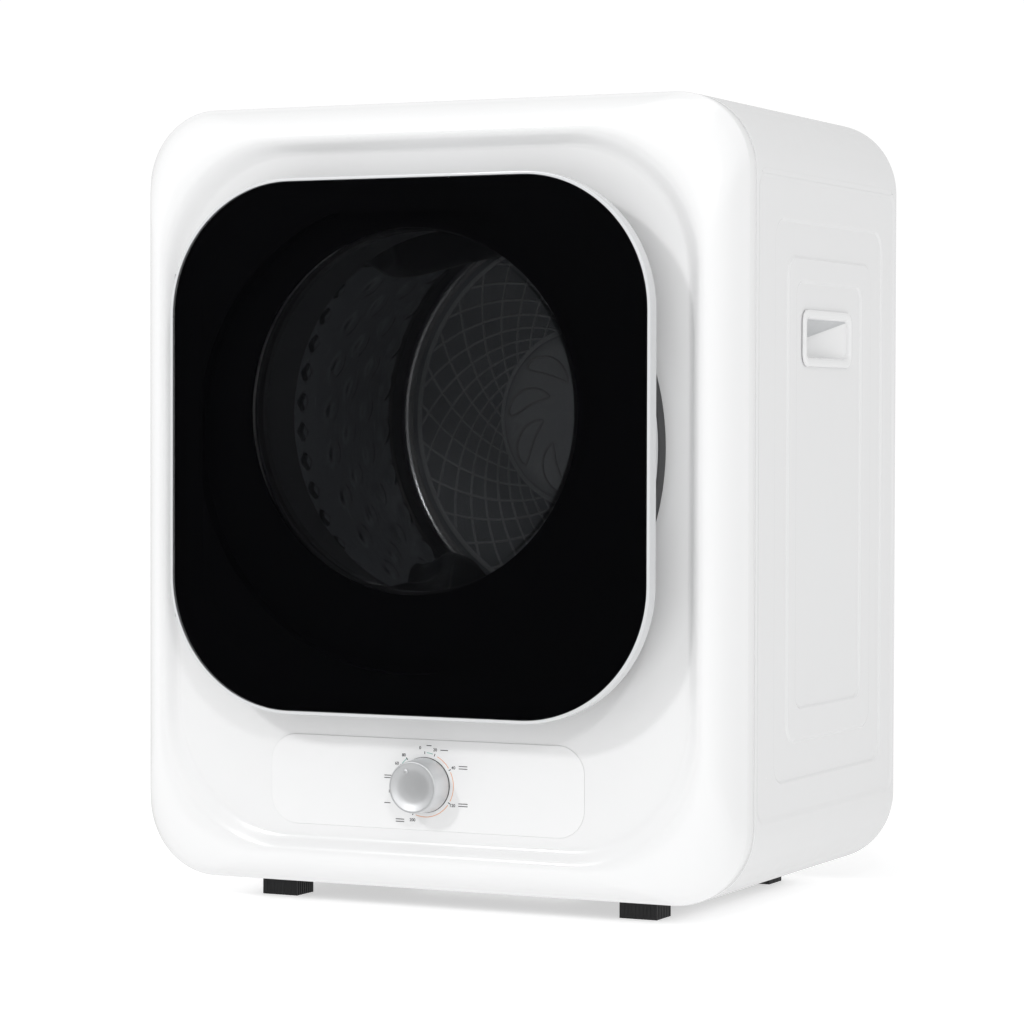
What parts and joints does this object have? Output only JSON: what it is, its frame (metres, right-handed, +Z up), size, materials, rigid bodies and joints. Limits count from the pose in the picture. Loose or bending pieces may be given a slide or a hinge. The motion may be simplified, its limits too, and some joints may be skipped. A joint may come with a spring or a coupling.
{
  "type": "clothes dryer",
  "caption": "Compact front-loading vented tumble dryer with a smoked hinged door, belt-driven drum, blower, heater, timer knob, side grips and rear exhaust collar.",
  "frame": {"origin": "middle of the object's box, at the bottom faces of the feet", "axes": "+Z up, +Y to the rear (the door faces -Y), +X to the right seen from the front"},
  "size_m": [0.4966, 0.41, 0.6],
  "materials": {
    "cabinet_white": "satin white enamel on steel sheet",
    "front_white": "glossy white moulding",
    "overlay_white": "satin white overlay with printed dial",
    "tray_black": "black painted steel tray",
    "zinc_sheet": "zinc-coated steel sheet",
    "mouth_grey": "pale grey heat-proof moulding",
    "felt": "grey wool felt",
    "nylon": "natural nylon",
    "gasket_rubber": "dark grey soft rubber",
    "steel": "bright machined steel",
    "motor_steel": "dull pressed steel",
    "belt_rubber": "black ribbed belt",
    "heater_aluminium": "finned heating block",
    "black_plastic": "black moulded plastic",
    "handle_white": "white moulded plastic",
    "foot_rubber": "black ribbed rubber",
    "capacitor_white": "white plastic can",
    "smoked_cover": "smoked glossy cover",
    "rim_silver": "silver-white moulded rim",
    "frame_black": "glossy black moulding",
    "ring_grey": "pale grey moulding",
    "window_clear": "clear bowl",
    "knob_silver": "satin silver",
    "drum_steel": "embossed stainless steel",
    "grille_grey": "grey moulded plastic",
    "lifter_dark": "dark grey moulded plastic",
    "filter_grey": "grey plastic with fine mesh",
    "blower_plastic": "white moulded plastic"
  },
  "bodies": {
    "root": {"cabinet_shell": "cabinet_white", "front_panel": "front_white", "control_overlay": "overlay_white", "base_plate": "tray_black", "rear_panel": "zinc_sheet", "rear_cover": "zinc_sheet", "exhaust_collar": "zinc_sheet", "front_bulkhead": "zinc_sheet", "drum_mouth": "mouth_grey", "drum_felts": "felt", "glide_pads": "nylon", "door_gasket": "gasket_rubber", "rear_bulkhead": "zinc_sheet", "drum_axle": "steel", "axle_bracket": "steel", "blower_housing": "zinc_sheet", "motor_housing": "motor_steel", "motor_cradle": "steel", "drum_belt": "belt_rubber", "blower_belt": "belt_rubber", "heater_box": "zinc_sheet", "heater_element": "heater_aluminium", "thermostats": "black_plastic", "timer_unit": "nylon", "door_catch": "nylon", "idler_spring": "steel", "hinge_bracket": "steel", "hinge_pins": "steel", "handle_left": "handle_white", "handle_right": "handle_white", "feet": "foot_rubber", "cord_gland": "black_plastic", "terminal_block": "nylon", "motor_capacitor": "capacitor_white", "cabinet_screws": "steel"},
    "door": {"door_cover": "smoked_cover", "door_rim": "rim_silver", "door_inner_frame": "frame_black", "door_ring": "ring_grey", "door_window": "window_clear", "window_ring": "rim_silver", "latch_hook": "nylon", "hinge_leaf": "steel"},
    "knob": {"timer_knob": "knob_silver", "timer_shaft": "steel"},
    "plunger": {"switch_plunger": "nylon"},
    "drum": {"drum_wall": "drum_steel", "drum_front": "drum_steel", "drum_back_wall": "drum_steel", "drum_hub": "grille_grey", "drum_lifters": "lifter_dark"},
    "filter": {"lint_filter": "filter_grey"},
    "rotor": {"motor_rotor": "motor_steel", "motor_pulley": "steel"},
    "blower": {"blower_wheel": "blower_plastic", "blower_pulley": "blower_plastic"},
    "idler_arm": {"idler_arm": "steel"},
    "idler_wheel": {"idler_wheel": "nylon"}
  },
  "joints": [
    {"name": "door_hinge", "type": "hinge", "parent": "root", "child": "door", "pos_m": [-0.197, -0.186, 0.345], "axis": [0, 0, -1], "range_deg": [0, 110]},
    {"name": "knob_turn", "type": "hinge", "parent": "root", "child": "knob", "pos_m": [0, -0.18, 0.096], "axis": [0, 1, 0], "continuous": true},
    {"name": "switch_press", "type": "slide", "parent": "root", "child": "plunger", "axis": [0, 1, 0], "range_m": [0, 0.003], "stiffness_N_per_m": 400, "springref_m": -0.002},
    {"name": "drum_spin", "type": "hinge", "parent": "root", "child": "drum", "pos_m": [0, 0, 0.367], "axis": [0, 1, 0], "continuous": true},
    {"name": "filter_pull", "type": "slide", "parent": "drum", "child": "filter", "axis": [0, -1, 0], "range_m": [0, 0.06]},
    {"name": "rotor_spin", "type": "hinge", "parent": "root", "child": "rotor", "pos_m": [-0.13, 0, 0.095], "axis": [0, 1, 0], "continuous": true},
    {"name": "blower_spin", "type": "hinge", "parent": "root", "child": "blower", "pos_m": [0, 0.15, 0.367], "axis": [0, 1, 0], "continuous": true},
    {"name": "idler_swing", "type": "hinge", "parent": "root", "child": "idler_arm", "pos_m": [-0.076, -0.03, 0.052], "axis": [0, 1, 0], "range_deg": [0, 12], "stiffness_Nm_per_rad": 2, "springref_deg": -11.46},
    {"name": "idler_spin", "type": "hinge", "parent": "idler_arm", "child": "idler_wheel", "pos_m": [-0.05329, -0.038, 0.11464], "axis": [0, 1, 0], "continuous": true}
  ],
  "couplings": [
    {"joint": "rotor_spin", "follows": "drum_spin", "ratio": 16.243},
    {"joint": "blower_spin", "follows": "drum_spin", "ratio": 9.2753},
    {"joint": "idler_spin", "follows": "drum_spin", "ratio": -12.021}
  ]
}
